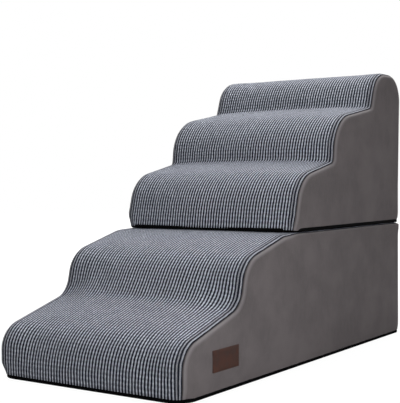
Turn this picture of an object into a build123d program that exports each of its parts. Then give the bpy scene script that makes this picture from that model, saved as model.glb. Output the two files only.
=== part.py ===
from build123d import *
from collections import namedtuple
import math
import os

# Pet stairs: five soft steps in two foam blocks that stack, each in a zipped cover.
# Millimetres. X runs across the stairs, Y from the front foot to the back, Z up from the floor.

# Overall sizes
stair_width = 400
stair_length = 842

# First step, from the floor. A run and its climb go from a nose to the foot of the next riser.
first_rise = 87.5
first_run = 169.7
first_climb = 49.4
first_nose_radius = 51
first_cove_radius = 42

# Second step, whose tread levels off under the upper block
second_rise = 74.4
second_lean = 17.3
second_run = 138
second_climb = 36.4
second_nose_radius = 62
landing_radius = 77

# Third step, the lowest of the upper block
third_rise = 104.6
third_lean = 26.7
third_run = 134.3
third_climb = 29.2
third_nose_radius = 74
third_cove_radius = 8

# Fourth step
fourth_rise = 86.2
fourth_lean = 9
fourth_run = 170
fourth_climb = 30.5
fourth_nose_radius = 86
fourth_cove_radius = 8

# Fifth step, which rolls over into the back
fifth_rise = 77.5
fifth_lean = 27.5
fifth_run = 129
fifth_nose_radius = 66
back_lean = 10
back_straight = 82
back_bend_radius = 220
back_top_radius = 58
lower_back_top_radius = 16

# Covers and their padding
cover_thickness = 3
comfort_thickness = 20
crown = 1.2
edge_radius = 14
seam_angle = 38
tread_tail = 46
least_radius = 0.5

# Grip base, a flat pan with a low turned-up wall
band_height = 7.5
base_sheet = 2.5
base_wall = 2.4
base_inset = 0.6
base_front_radius = 33
base_back_radius = 15

# Zip across the foot of each back, with its slit in the cover
zip_height = 40
zip_side_margin = 42
zip_slit = 9.6
zip_end_gap = 3.5
tape_hidden_end = 3
tape_width = 15.5
tape_thickness = 0.8
tape_parting = 1
coil_width = 2.5
coil_thickness = 2.2
stop_length = 3.3
stop_overhang = 0.4
stop_gap = 0.2
channel_margin = 1

# Zip slider and its pull
slider_length = 10
slider_width = 8.4
slider_corner = 2
slider_plate = 1.5
slider_gap = 0.3
flange_width = 0.9
flange_lift = 0.5
web_width = 0.8
web_length = 4
bridge_length = 7
bridge_width = 1.4
bridge_height = 3
bridge_bar = 1
bridge_leg = 1.3
slider_end_gap = 1
pull_bar_radius = 0.6
pull_bar_gap = 0.25
pull_arm_gap = 0.4
pull_arm_width = 1
pull_neck = 4.5
pull_length = 28
pull_width = 8
pull_corner = 3
pull_hole_radius = 1.6

# Hook and loop strips between the blocks
strip_width = 40
strip_length = 300
strip_thickness = 1.2
strip_side_margin = 70
strip_back_margin = 62

# Leather patch on the right side
label_length = 78
label_height = 36
label_thickness = 1.2
label_front = 79
label_foot = 38
label_corner = 2

# Clearances and the overrun of cuts
block_gap = 0.3
fit_gap = 0.3
pad_gap = 0.2
recess_gap = 0.1
overrun = 5

half_width = stair_width / 2
upper_length = (
    third_lean + third_run + fourth_lean + fourth_run + fifth_lean + fifth_run - back_lean
)
upper_setback = stair_length - upper_length
lower_top = first_rise + first_climb + second_rise + second_climb
upper_foot = lower_top + block_gap
stair_height = (
    upper_foot + third_rise + third_climb + fourth_rise + fourth_climb + fifth_rise
)

# An outline corner: its place, its fillet and what the edge that leaves it is.
Corner = namedtuple("Corner", "y z radius edge")
SOFT, BACK, FOOT = "soft", "back", "foot"


def lower_outline():
    """Side outline of the lower cover, from its front foot over two steps and down the back."""
    first_cove_z = first_rise + first_climb
    second_nose_y = first_run + second_lean
    second_nose_z = first_cove_z + second_rise
    return [
        Corner(0, band_height, 0, SOFT),
        Corner(0, first_rise, first_nose_radius, SOFT),
        Corner(first_run, first_cove_z, first_cove_radius, SOFT),
        Corner(second_nose_y, second_nose_z, second_nose_radius, SOFT),
        Corner(second_nose_y + second_run, lower_top, landing_radius, SOFT),
        Corner(stair_length, lower_top, lower_back_top_radius, BACK),
        Corner(stair_length, band_height, 0, FOOT),
    ]


def upper_outline():
    """Side outline of the upper cover, over three steps and down the back."""
    foot = upper_foot + band_height
    third_nose_y = upper_setback + third_lean
    third_nose_z = upper_foot + third_rise
    third_cove_y = third_nose_y + third_run
    third_cove_z = third_nose_z + third_climb
    fourth_nose_y = third_cove_y + fourth_lean
    fourth_nose_z = third_cove_z + fourth_rise
    fourth_cove_y = fourth_nose_y + fourth_run
    fourth_cove_z = fourth_nose_z + fourth_climb
    fifth_nose_y = fourth_cove_y + fifth_lean
    return [
        Corner(upper_setback, foot, 0, SOFT),
        Corner(third_nose_y, third_nose_z, third_nose_radius, SOFT),
        Corner(third_cove_y, third_cove_z, third_cove_radius, SOFT),
        Corner(fourth_nose_y, fourth_nose_z, fourth_nose_radius, SOFT),
        Corner(fourth_cove_y, fourth_cove_z, fourth_cove_radius, SOFT),
        Corner(fifth_nose_y, stair_height, fifth_nose_radius, SOFT),
        Corner(stair_length + back_lean, stair_height, back_top_radius, BACK),
        Corner(stair_length, upper_foot + back_straight, back_bend_radius, BACK),
        Corner(stair_length, foot, 0, FOOT),
    ]


def heading(start, end):
    """Unit direction from one outline corner to the next."""
    run, rise = end.y - start.y, end.z - start.z
    length = math.hypot(run, rise)
    return run / length, rise / length


def moved_in(corners, soft=0, back=0, foot=0):
    """The outline with its edges moved inwards, each kind by its own distance."""
    distances = {SOFT: soft, BACK: back, FOOT: foot}
    count = len(corners)
    result = []
    for index, corner in enumerate(corners):
        before = corners[index - 1]
        after = corners[(index + 1) % count]
        in_y, in_z = heading(before, corner)
        out_y, out_z = heading(corner, after)
        near = distances[before.edge]
        far = distances[corner.edge]
        turn = in_y * out_z - in_z * out_y
        aligned = in_z * out_z + in_y * out_y
        slide = (far - near * aligned) / turn
        radius = corner.radius
        if radius > 0:
            inward = max(near, far)
            radius = radius - inward if turn < 0 else radius + inward
            radius = max(radius, least_radius)
        place_y = corner.y + in_z * near + in_y * slide
        place_z = corner.z - in_y * near + in_z * slide
        result.append(Corner(place_y, place_z, radius, corner.edge))
    return result


def rounded_face(corners):
    """Flat face bounded by lines and by an arc at each corner that has a radius."""
    count = len(corners)
    arcs = []
    for index, corner in enumerate(corners):
        place = Vector(corner.y, corner.z)
        before = corners[index - 1]
        after = corners[(index + 1) % count]
        to_before = (Vector(before.y, before.z) - place).normalized()
        to_after = (Vector(after.y, after.z) - place).normalized()
        if corner.radius == 0:
            arcs.append((place, None, place))
            continue
        half_opening = math.radians(to_before.get_angle(to_after)) / 2
        reach = corner.radius / math.tan(half_opening)
        middle = (to_before + to_after).normalized()
        crest = corner.radius / math.sin(half_opening) - corner.radius
        arcs.append((place + to_before * reach, place + middle * crest, place + to_after * reach))
    edges = []
    for index, (start, crest, end) in enumerate(arcs):
        if crest is not None:
            edges.append(ThreePointArc(start, crest, end).edge())
        edges.append(Line(end, arcs[(index + 1) % count][0]).edge())
    return Face(Wire(edges))


def side_section(corners, x):
    """A side outline's face, stood up across X at one place."""
    return Plane.YZ.offset(x) * rounded_face(corners)


def loft_across(outline, stations, extra=0, foot=0):
    """Solid lofted across X through the outline, drawn in at each station as it says."""
    sections = []
    for x, soft, back in stations:
        corners = moved_in(outline, soft + extra, back + extra, foot)
        sections.append(side_section(corners, x))
    return loft(sections, ruled=True)


def rolled(angle, reach=0):
    """One station on the rolled side edge: its X, and how far the outline is drawn in."""
    turn = math.radians(angle)
    drop = edge_radius * (1 - math.cos(turn))
    x = half_width - edge_radius + edge_radius * math.sin(turn) + reach
    return x, crown + drop, drop


def cover_stations(reach=0):
    """Stations from the left seam over the crowned middle to the right seam."""
    edge = [rolled(0, reach), rolled(seam_angle / 2, reach), rolled(seam_angle, reach)]
    flat_x = edge[0][0]
    right = [(flat_x / 2, crown / 4, 0)] + edge
    left = [(-x, soft, back) for x, soft, back in reversed(right)]
    return left + [(0, 0, 0)] + right


def block(low, high):
    """Box between two opposite corners."""
    size = [b - a for a, b in zip(low, high)]
    return Pos(*low) * Box(*size, align=(Align.MIN, Align.MIN, Align.MIN))


def slab(sketch, near, far):
    """A sketch drawn in X and Z, made solid between two places in Y."""
    return extrude(Plane.XZ.offset(-near) * sketch, amount=near - far)


seam_x = rolled(seam_angle)[0]
back_face = stair_length
back_inner = back_face - cover_thickness
coil_length = stair_width - 2 * zip_side_margin
slit_length = coil_length + 2 * (stop_gap + stop_length + zip_end_gap)
tape_length = slit_length + 2 * tape_hidden_end


def base_plan(front, inset_by):
    """Rounded plan of the grip base, drawn in by a distance."""
    side = half_width - base_inset - inset_by
    near = front + base_inset + inset_by
    far = back_face - base_inset - inset_by
    front_radius = base_front_radius - inset_by
    back_radius = base_back_radius - inset_by
    return rounded_face([
        Corner(-side, near, front_radius, FOOT),
        Corner(side, near, front_radius, FOOT),
        Corner(side, far, back_radius, FOOT),
        Corner(-side, far, back_radius, FOOT),
    ])


def base_cover(front, floor):
    """Black grip pan: a flat sheet with a low wall turned up all round."""
    outside = extrude(base_plan(front, 0), amount=band_height)
    inside = extrude(base_plan(front, base_wall), amount=band_height)
    return Pos(0, 0, floor) * (outside - Pos(0, 0, base_sheet) * inside)


def foot_collar(front, floor):
    """What is cut off the foam's foot so that it sits inside the base pan's wall."""
    ring_top = band_height + fit_gap
    around = block(
        (-half_width - overrun, front - overrun, -overrun),
        (half_width + overrun, back_face + overrun, ring_top),
    )
    keep = extrude(base_plan(front, base_wall + fit_gap), amount=ring_top + overrun)
    return Pos(0, 0, floor) * (around - Pos(0, 0, -overrun) * keep)


def zip_cut(height, depth_from, depth_to, half_height, half_length):
    """Box along the zip, between two places in Y."""
    return block(
        (-half_length, depth_from, height - half_height),
        (half_length, depth_to, height + half_height),
    )


# Places in Y of what the zip stacks up, from the tapes outwards and from them inwards
tape_outer = back_inner - recess_gap
tape_inner = tape_outer - tape_thickness
coil_outer = tape_outer + coil_thickness
top_plate_inner = coil_outer + slider_gap
top_plate_outer = top_plate_inner + slider_plate
under_plate_outer = tape_inner - slider_gap
under_plate_inner = under_plate_outer - slider_plate
channel_floor = under_plate_inner - slider_gap
bar_centre = top_plate_outer + pull_bar_gap + pull_bar_radius
slider_rest = coil_length / 2 - slider_end_gap - slider_length / 2


def foam_pieces(outline, front, floor, zip_z):
    """The firm core and the softer layer that lies over its front and treads."""
    drop = band_height - base_sheet - fit_gap
    skin = cover_thickness + fit_gap
    pad = loft_across(outline, cover_stations(-fit_gap), skin, -drop)
    pad -= foot_collar(front, floor)
    wide = half_width + overrun
    core_outline = moved_in(outline, skin + comfort_thickness + pad_gap, -overrun, -band_height)
    layer_outline = moved_in(outline, skin + comfort_thickness, -overrun, -band_height)
    core_zone = extrude(side_section(core_outline, -wide), amount=2 * wide, dir=(1, 0, 0))
    layer_zone = extrude(side_section(layer_outline, -wide), amount=2 * wide, dir=(1, 0, 0))
    channel = zip_cut(
        zip_z,
        channel_floor,
        back_face + overrun,
        tape_parting / 2 + tape_width + channel_margin,
        tape_length / 2 + channel_margin,
    )
    return (pad & core_zone) - channel, pad - layer_zone


def cover_pieces(outline, zip_z, tread_end):
    """The wrap-round cover, parted into tread cover, back panel and back hem."""
    drop = overrun
    outside = loft_across(outline, cover_stations())
    ends = cover_stations()
    first, last = ends[0], ends[-1]
    longer = [(first[0] - overrun,) + first[1:]] + ends + [(last[0] + overrun,) + last[1:]]
    inside = loft_across(outline, longer, cover_thickness, -drop)
    wrap = outside - inside
    wide = half_width + overrun
    behind = back_inner - edge_radius - cover_thickness
    far = back_face + back_lean + overrun
    back_zone = block((-wide, behind, zip_z), (wide, far, tread_end))
    hem_zone = block((-wide, behind, zip_z - zip_height), (wide, far, zip_z))
    slit = zip_cut(zip_z, back_inner - overrun, far, zip_slit / 2, slit_length / 2)
    tread = wrap - back_zone - hem_zone
    return tread, (wrap & back_zone) - slit, (wrap & hem_zone) - slit


def side_panel(outline):
    """Right side panel, with its edge rolled over from the seam to the flat side."""
    between = (seam_angle + 90) / 2
    stations = [
        rolled(seam_angle),
        rolled((seam_angle + between) / 2),
        rolled(between),
        rolled((between + 90) / 2),
        rolled(90),
    ]
    return loft_across(outline, stations)


def label_plate(margin):
    """Patch on the right side, or with a margin the shallow seat that it lies in."""
    sketch = RectangleRounded(
        label_length + 2 * margin, label_height + 2 * margin, label_corner + margin
    )
    face = Plane.YZ.offset(half_width - label_thickness - margin) * sketch
    plate = extrude(face, amount=label_thickness + margin)
    return Pos(0, label_front + label_length / 2, label_foot + label_height / 2) * plate


def zip_tapes():
    """The two woven tapes, edge to edge behind the slit."""
    inner = tape_parting / 2
    above = block(
        (-tape_length / 2, tape_inner, inner),
        (tape_length / 2, tape_outer, inner + tape_width),
    )
    return Compound([above, mirror(above, Plane.XY)])


def zip_coils():
    """The two coils, with the slot between them that the slider's web runs in."""
    low = tape_parting / 2
    above = block(
        (-coil_length / 2, tape_outer, low),
        (coil_length / 2, coil_outer, low + coil_width),
    )
    above = fillet(
        above.edges().filter_by(Axis.X).group_by(Axis.Y)[-1], coil_thickness / 3
    )
    return Compound([above, mirror(above, Plane.XY)])


def zip_stops():
    """The two end stops, one past each end of the coils."""
    start = coil_length / 2 + stop_gap
    reach = tape_parting / 2 + coil_width + stop_overhang
    right = block(
        (start, tape_outer, -reach),
        (start + stop_length, coil_outer + stop_overhang, reach),
    )
    return Compound([right, mirror(right, Plane.YZ)])


def zip_slider():
    """Slider about its own middle: two plates, the web, two flanges and the pull's bridge."""
    plate = RectangleRounded(slider_length, slider_width, slider_corner)
    body = slab(plate, top_plate_inner, top_plate_outer)
    body += slab(plate, under_plate_inner, under_plate_outer)
    body += block(
        (-web_length / 2, under_plate_outer, -web_width / 2),
        (web_length / 2, top_plate_inner, web_width / 2),
    )
    flange = block(
        (slider_corner - slider_length / 2, tape_outer + flange_lift, slider_width / 2 - flange_width),
        (slider_length / 2 - slider_corner, top_plate_inner, slider_width / 2),
    )
    body += flange
    body += mirror(flange, Plane.XY)
    bridge = block(
        (-bridge_length / 2, top_plate_outer, -bridge_width / 2),
        (bridge_length / 2, top_plate_outer + bridge_height, bridge_width / 2),
    )
    bridge = fillet(
        bridge.edges().filter_by(Axis.Z).group_by(Axis.Y)[-1], bridge_bar
    )
    bridge -= block(
        (bridge_leg - bridge_length / 2, top_plate_outer, -bridge_width),
        (
            bridge_length / 2 - bridge_leg,
            top_plate_outer + bridge_height - bridge_bar,
            bridge_width,
        ),
    )
    return body + bridge


def zip_pull():
    """Pull tab about its slider's middle: an eye bar, two arms and a flat tab."""
    arm_inner = bridge_width / 2 + pull_arm_gap
    arm_outer = arm_inner + pull_arm_width
    near = bar_centre - pull_bar_radius
    far = bar_centre + pull_bar_radius
    bar = Pos(0, bar_centre, 0) * Cylinder(pull_bar_radius, 2 * arm_outer)
    arm = block((0, near, arm_inner), (pull_neck + pull_corner, far, arm_outer))
    tab = Pos(pull_neck + (pull_length - pull_neck) / 2, 0) * RectangleRounded(
        pull_length - pull_neck, pull_width, pull_corner
    )
    tab -= Pos(pull_length - 2 * pull_corner, 0) * Circle(pull_hole_radius)
    return bar + arm + mirror(arm, Plane.XY) + slab(tab, near, far)


def strips(z):
    """The pair of fastening strips, their underside at a height."""
    far = back_face - strip_back_margin
    inner = half_width - strip_side_margin - strip_width
    right = block(
        (inner, far - strip_length, z),
        (inner + strip_width, far, z + strip_thickness),
    )
    return Compound([right, mirror(right, Plane.YZ)])


def strip_seats(z, reach):
    """Shallow seats for the pair of strips, from a height as far as a reach."""
    far = back_face - strip_back_margin + recess_gap
    inner = half_width - strip_side_margin - strip_width - recess_gap
    right = block(
        (inner, far - strip_length - 2 * recess_gap, min(z, z + reach)),
        (inner + strip_width + 2 * recess_gap, far, max(z, z + reach)),
    )
    return right + mirror(right, Plane.YZ)


def block_pieces(name, outline, front, floor, top):
    """All pieces of one foam block and its zipped cover, by node name."""
    zip_z = floor + zip_height
    core, layer = foam_pieces(outline, front, floor, zip_z)
    tread, back, hem = cover_pieces(outline, zip_z, top - tread_tail)
    panel = side_panel(outline)
    slider_place = Pos(-slider_rest, 0, zip_z)
    return {
        name + "_foam_core": core,
        name + "_comfort_layer": layer,
        name + "_tread_cover": tread,
        name + "_side_panel_right": panel,
        name + "_side_panel_left": mirror(panel, Plane.YZ),
        name + "_back_panel": back,
        name + "_back_hem": hem,
        name + "_base_cover": base_cover(front, floor),
        name + "_zip_tapes": Pos(0, 0, zip_z) * zip_tapes(),
        name + "_zip_coils": Pos(0, 0, zip_z) * zip_coils(),
        name + "_zip_stops": Pos(0, 0, zip_z) * zip_stops(),
        name + "_zip_slider": slider_place * zip_slider(),
        name + "_zip_pull": slider_place * zip_pull(),
    }


def all_pieces():
    """Every node of the stairs, in the frame that starts at the front foot."""
    pieces = block_pieces("lower", lower_outline(), 0, 0, lower_top)
    pieces.update(
        block_pieces("upper", upper_outline(), upper_setback, upper_foot, stair_height)
    )
    loop_z = lower_top - strip_thickness
    pieces["loop_strips"] = strips(loop_z)
    pieces["lower_tread_cover"] -= strip_seats(loop_z - recess_gap, overrun)
    pieces["hook_strips"] = strips(upper_foot)
    hook_top = upper_foot + strip_thickness + recess_gap
    pieces["upper_base_cover"] -= strip_seats(hook_top, -overrun)
    pieces["side_label"] = label_plate(0)
    pieces["lower_side_panel_right"] -= label_plate(recess_gap)
    return pieces


def main():
    os.makedirs("parts", exist_ok=True)
    pieces = all_pieces()
    boxes = [piece.bounding_box() for piece in pieces.values()]
    middle = (min(box.min.Y for box in boxes) + max(box.max.Y for box in boxes)) / 2
    for name, piece in pieces.items():
        export_step(Pos(0, -middle, 0) * piece, f"parts/{name}.step")
    print("middle of the length", middle)
    print("zip slider rests at x", -slider_rest, "y", bar_centre - middle)
    print("zip heights", zip_height, upper_foot + zip_height)


main()
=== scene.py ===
import math

import bmesh
import bpy
import numpy as np
from mathutils import Matrix, Vector, kdtree
from mathutils.geometry import delaunay_2d_cdt


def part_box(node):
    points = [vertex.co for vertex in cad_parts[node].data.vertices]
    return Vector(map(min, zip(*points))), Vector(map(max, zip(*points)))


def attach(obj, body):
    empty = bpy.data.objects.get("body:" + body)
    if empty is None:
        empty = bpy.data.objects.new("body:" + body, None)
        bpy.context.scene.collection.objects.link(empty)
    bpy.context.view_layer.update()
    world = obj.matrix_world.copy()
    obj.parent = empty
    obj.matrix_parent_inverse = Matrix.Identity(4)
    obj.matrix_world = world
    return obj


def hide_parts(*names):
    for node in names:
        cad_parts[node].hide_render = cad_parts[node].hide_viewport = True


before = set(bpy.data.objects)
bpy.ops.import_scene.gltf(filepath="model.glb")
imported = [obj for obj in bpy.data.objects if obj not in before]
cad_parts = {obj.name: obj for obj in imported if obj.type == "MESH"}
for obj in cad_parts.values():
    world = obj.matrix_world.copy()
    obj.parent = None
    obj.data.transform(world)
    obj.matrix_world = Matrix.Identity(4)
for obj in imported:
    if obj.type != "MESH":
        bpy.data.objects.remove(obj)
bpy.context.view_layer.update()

scene = bpy.context.scene

# Lengths are in millimetres from the front foot, as in the part's source. in_frame() turns them to metres.
MM = 0.001
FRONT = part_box("lower_tread_cover")[0][1]

# Blocks: half the width, the edge that rolls into the sides, and heights and places along the stairs
HALF = 200.0
EDGE = 14.0
FLAT = HALF - EDGE
CROWN = 1.2
LOWER_TOP = 247.7
UPPER_FOOT = 248.0
TOP = 576.0
BACK = 842.0
SETBACK = 355.5

# Covers: the seam on the rolled edge, how far the knit comes down the back, how thick the cloth is,
# how far it sinks in at seams, and the small gap left at its very end
SEAM = math.radians(38)
REACH = FLAT + EDGE * SEAM
SIDE_ARC = EDGE * (math.pi / 2 - SEAM)
TAIL = 46.0
CLOTH = 3.0
KNIT_SINK = 1.2
PLUSH_SINK = 1.4
END_GAP = 0.6

# Rows of each grid: how far apart they lie, and how many degrees the outline bends from one to the next
ROWS = {"cover": (6.5, 5.5), "back": (7.0, 6.0), "foam": (12, 10), "cloth": (15, 12), "carried": (14, 12)}

# Knit
RIBS = {"lower": 61, "upper": 64}
RIB_DEPTH = 0.4
KNOT = 7.5

# Base: its band, how far that is set in, its corners, and how the cover's foot is drawn in over it
BAND = 7.5
BAND_SET = 1.3
CORNER = 33.0
REAR_CORNER = 15.0
FOOT_REACH = 22.0
FOOT_ROLL = 1.6

# Zip
ZIP = 40.0
SLIT = 4.8
SLIT_END = 165.0
CHAIN = 157.4
COIL_PITCH = 1.6

# Hook and loop strips, and the leather patch
STRIP_WIDTH = 40.0
STRIP_THICK = 1.1
STRIPS = [(x, 480.0, 780.0) for x in (-110.0, 110.0)]
PATCH_SIZE = (78, 36)
PATCH_AT = (118.0, 56.0)
PATCH_THICK = 2.2

# Foam: how deep each piece lies inside the cover, and how deep the soft one reaches
FIRM_DEPTH = 23.6
SOFT_DEPTH = 4.4
SOFT_REACH = 23.2

# Outlines: steps on an arc, spacing along, and how far a crease is filled before it counts
ARC_STEPS = 48
SAMPLE = 0.5
FILL = 2.0

# Cloth simulation: voxels are in metres, and the sewn edge lies between two distances from the middle
VOXEL = 0.009
SEWN = (189.5, 199.2)
FRAMES = 16
PRESSURE = 1.6
MOST_MOVED = 2.6
NEIGHBOURS = 6

# Camera: a pinhole fitted to the photograph, with its focal length and longer side in pixels
FOCAL = 958.9
LONG_SIDE = 403
SENSOR = 36
VIEW_AT = (1.04254, -1.18587 + FRONT, 0.34856)
YAW, PITCH, ROLL = (math.radians(angle) for angle in (34.331, 1.374, -0.349))

# Side outlines: corners as (along, height, radius), from the front foot to the foot of the back
LOWER = [
    (0, BAND, 0), (0, 87.5, 51), (169.7, 136.9, 42), (187, 211.3, 62), (325, LOWER_TOP, 77),
    (BACK, LOWER_TOP, 7), (BACK, BAND, 0),
]
UPPER = [
    (SETBACK, UPPER_FOOT + BAND, 0), (382.2, 352.6, 74), (516.5, 381.8, 8), (525.5, 468, 86),
    (695.5, 498.5, 8), (723, TOP, 66), (BACK + 10, TOP, 58), (BACK, UPPER_FOOT + 82, 220),
    (BACK, UPPER_FOOT + BAND, 0),
]


def smooth(low, high, value):
    """Smooth step from 0 at low to 1 at high."""
    t = np.clip((np.asarray(value, float) - low) / (high - low), 0, 1)
    return t * t * (3 - 2 * t)


def outward(y, z):
    """The outward normal along a line."""
    dy, dz = np.gradient(y), np.gradient(z)
    size = np.hypot(dy, dz)
    return -dz / size, dy / size


class Outline:
    """A block's side outline, from its front foot over the treads and down its back.

    In the middle of the width it is softened over a spread, up to where ends says. crease is the share
    of that which a crease leaves out, hem is how far the front hangs over the band, and covered is where
    the other block presses on it."""

    def __init__(self, label, corners, foot, top, spread, ends, crease, hem, covered=None):
        self.label = label
        self.body = f"{label}_block"
        self.foot = foot
        self.tail = top - TAIL
        self.crease = crease
        self.hem = hem
        self.front = corners[0][0]
        self.lean = (corners[1][0] - corners[0][0]) / (corners[1][1] - corners[0][1])
        points = []
        for index, (y, z, radius) in enumerate(corners):
            place = Vector((y, z))
            if not radius:
                points.append(place)
                continue
            to_before = (Vector(corners[index - 1][:2]) - place).normalized()
            to_after = (Vector(corners[index + 1][:2]) - place).normalized()
            half = to_before.angle(to_after) / 2
            middle = (to_before + to_after).normalized()
            centre = place + middle * (radius / math.sin(half))
            start = place + to_before * (radius / math.tan(half)) - centre
            end = place + to_after * (radius / math.tan(half)) - centre
            turn = math.pi - 2 * half
            for step in range(ARC_STEPS + 1):
                t = step / ARC_STEPS
                arm = (start * math.sin((1 - t) * turn) + end * math.sin(t * turn)) / math.sin(turn)
                points.append(centre + arm)
        raw = np.array([tuple(p) for p in points])
        gone = np.concatenate([[0], np.cumsum(np.hypot(*np.diff(raw, axis=0).T))])
        self.length = gone[-1]
        self.s = np.arange(0, self.length, SAMPLE)
        self.y = np.interp(self.s, gone, raw[:, 0])
        self.z = np.interp(self.s, gone, raw[:, 1])
        self.ny, self.nz = outward(self.y, self.z)
        course = np.unwrap(np.arctan2(-self.ny, self.nz))
        self.turn = np.concatenate([[0], np.cumsum(np.abs(np.diff(course)))])
        corner = np.where((self.ny > 0.02) & (self.y > BACK - 80))[0][0]
        self.over = self.s[corner]
        self.crown = 1 - smooth(self.over, self.over + 20, self.s)
        self.soften(spread, *ends)
        self.press = np.zeros(len(self.s))
        if covered:
            self.press = smooth(*covered, self.y) * smooth(LOWER_TOP - 30, LOWER_TOP - 5, self.z)

    def soften(self, spread, start, end):
        """The softer line that the cover takes in the middle of the width, up to a place along Y.

        A nose sinks in, and the crease at the foot of a riser stays crisper."""
        reach = np.arange(-3 * spread, 3 * spread + SAMPLE, SAMPLE)
        weights = np.exp(-0.5 * (reach / spread) ** 2)
        share = smooth(0, 45, self.s) * (1 - smooth(start, end, self.y))
        moves = []
        for values in (self.y, self.z):
            longer = np.pad(values, len(reach) // 2, mode="reflect", reflect_type="odd")
            moves.append(np.convolve(longer, weights / weights.sum(), mode="valid") - values)
        filled = smooth(0, FILL, moves[0] * self.ny + moves[1] * self.nz)
        share = share * (1 - self.crease * filled)
        soft = [values + move * share for values, move in zip((self.y, self.z), moves)]
        self.soft = (*soft, *outward(*soft))

    def at(self, s, x):
        """Y, Z, the outward normal, the crown's share and the press, at distances along and across."""
        s, x = np.broadcast_arrays(np.asarray(s, float), np.asarray(x, float))
        middle = 1 - smooth(FLAT - 70, FLAT - 2, np.abs(x))
        hard = [np.interp(s, self.s, a) for a in (self.y, self.z, self.ny, self.nz)]
        soft = [np.interp(s, self.s, a) for a in self.soft]
        y, z, ny, nz = [a + (b - a) * middle for a, b in zip(hard, soft)]
        size = np.hypot(ny, nz)
        press = np.interp(s, self.s, self.press)
        return y, z, ny / size, nz / size, np.interp(s, self.s, self.crown) * (1 - press), press

    def back_at(self, z):
        """Distance along to a height on the back."""
        back = self.s > self.over
        return float(np.interp(-z, -self.z[back], self.s[back]))

    def rows(self, start, end, step, turn, also=()):
        """Distances along, closer together where the outline bends, with some that must be there."""
        cost = self.s / step + self.turn / math.radians(turn)
        first, last = np.interp([start, end], self.s, cost)
        count = max(2, int(math.ceil(last - first)))
        rows = np.interp(np.linspace(first, last, count + 1), cost, self.s)
        rows[0], rows[-1] = start, end
        for value in also:
            rows[np.argmin(np.abs(rows - value))] = value
        return np.unique(rows)


LOWER_LINE = Outline("lower", LOWER, 0, LOWER_TOP, 28.0, (318, 356), 0.0, 2.2, (328, 376))
UPPER_LINE = Outline("upper", UPPER, UPPER_FOOT, TOP, 18.0, (765, 805), 0.65, 5.0)


def skin(line, s, u):
    """Points and outward normals of a block's cover, as rows along and columns across.

    The edge is rounded, and flatter where the other block's weight presses on it."""
    u = np.asarray(u, float)[None, :]
    y, z, ny, nz, share, press = line.at(np.asarray(s, float)[:, None], u)
    tilt = np.clip((np.abs(u) - FLAT) / EDGE, 0, math.pi / 2)
    flat = 1 - 0.58 * press
    x = np.where(tilt > 0, np.sign(u) * (FLAT + EDGE * np.sin(tilt)), u)
    inset = EDGE * flat * (1 - np.cos(tilt)) + CROWN * np.minimum(np.abs(u) / FLAT, 1) ** 2 * share
    points = np.stack([x + 0 * y, y - ny * inset, z - nz * inset], axis=-1)
    aside, ahead = flat * np.sin(tilt), np.cos(tilt)
    size = np.hypot(aside, ahead)
    normals = np.stack([np.sign(u) * aside / size, ny * ahead / size, nz * ahead / size], axis=-1)
    return points, normals


def tucked(line, points, depth=0.0):
    """The foot drawn in to the base's rounded front corners, and rolled in over the band.

    At the front it hangs a little over the band."""
    p = np.array(points, float)
    x, y, z = np.moveaxis(p, -1, 0)
    high = z - line.foot - BAND
    front = line.front + line.lean * high
    radius = CORNER - depth
    side = np.sign(x)
    dx = np.abs(x) - (HALF - CORNER)
    dy = CORNER - (y - front)
    far = np.hypot(dx, dy)
    outside = (dx > 0) & (dy > 0) & (far > radius)
    pull = np.where(outside, 1 - radius / np.maximum(far, 1e-6), 0) * (1 - smooth(0, FOOT_REACH, high))
    x -= side * dx * pull
    y += dy * pull
    roll = FOOT_ROLL * np.clip(1 - high / 16, 0, 1) ** 2
    x -= side * roll * smooth(HALF - 16, HALF - 2, np.abs(x))
    near = 1 - smooth(4, 30, y - front)
    y += roll * (0.5 * near - smooth(BACK - 16, BACK - 2, y))
    z -= line.hem * near * np.clip(1 - high / FOOT_REACH, 0, 1) ** 2
    return p


def in_frame(points):
    """Millimetres from the front foot to metres in the frame."""
    return np.array(points, float) * MM + (0, FRONT, 0)


def placed(name, data):
    """A new object in the scene."""
    obj = bpy.data.objects.new(name, data)
    scene.collection.objects.link(obj)
    return obj


def mesh_object(name, verts, faces, material=None, uvs=None, smooth_shade=True):
    """A mesh object from points in millimetres, with one UV place for each."""
    mesh = bpy.data.meshes.new(name)
    mesh.from_pydata(in_frame(verts).reshape(-1, 3).tolist(), [], faces)
    mesh.update()
    if uvs is not None:
        layer = mesh.uv_layers.new(name="cloth")
        corner = np.empty(len(mesh.loops), dtype=np.int64)
        mesh.loops.foreach_get("vertex_index", corner)
        layer.data.foreach_set("uv", np.asarray(uvs, np.float32)[corner].ravel())
    if material:
        mesh.materials.append(material)
    mesh.polygons.foreach_set("use_smooth", [smooth_shade] * len(mesh.polygons))
    return placed(name, mesh)


def grid_uvs(across, along):
    """UV places of a grid of points, in metres."""
    return np.stack(np.meshgrid(across, along), axis=-1).reshape(-1, 2) * MM


def quads(rows, cols, skip=None):
    """Faces of a grid of rows and columns, facing out of the cover."""
    faces = []
    for r in range(rows - 1):
        for c in range(cols - 1):
            if skip is not None and skip[r, c]:
                continue
            a = r * cols + c
            faces.append((a, a + 1, a + cols + 1, a + cols))
    return faces


def between_rings(first, rings, count, turned=False):
    """Faces between rings of count points each, which start at the point with the index first."""
    faces = []
    for low in range(first, first + (rings - 1) * count, count):
        for a in range(count):
            b = (a + 1) % count
            if turned:
                a, b = b, a
            faces.append((low + a, low + b, low + count + b, low + count + a))
    return faces


def last_cap(first, rings, count):
    """The face that closes the last of such rings."""
    last = first + (rings - 1) * count
    return list(range(last + count - 1, last - 1, -1))


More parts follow.
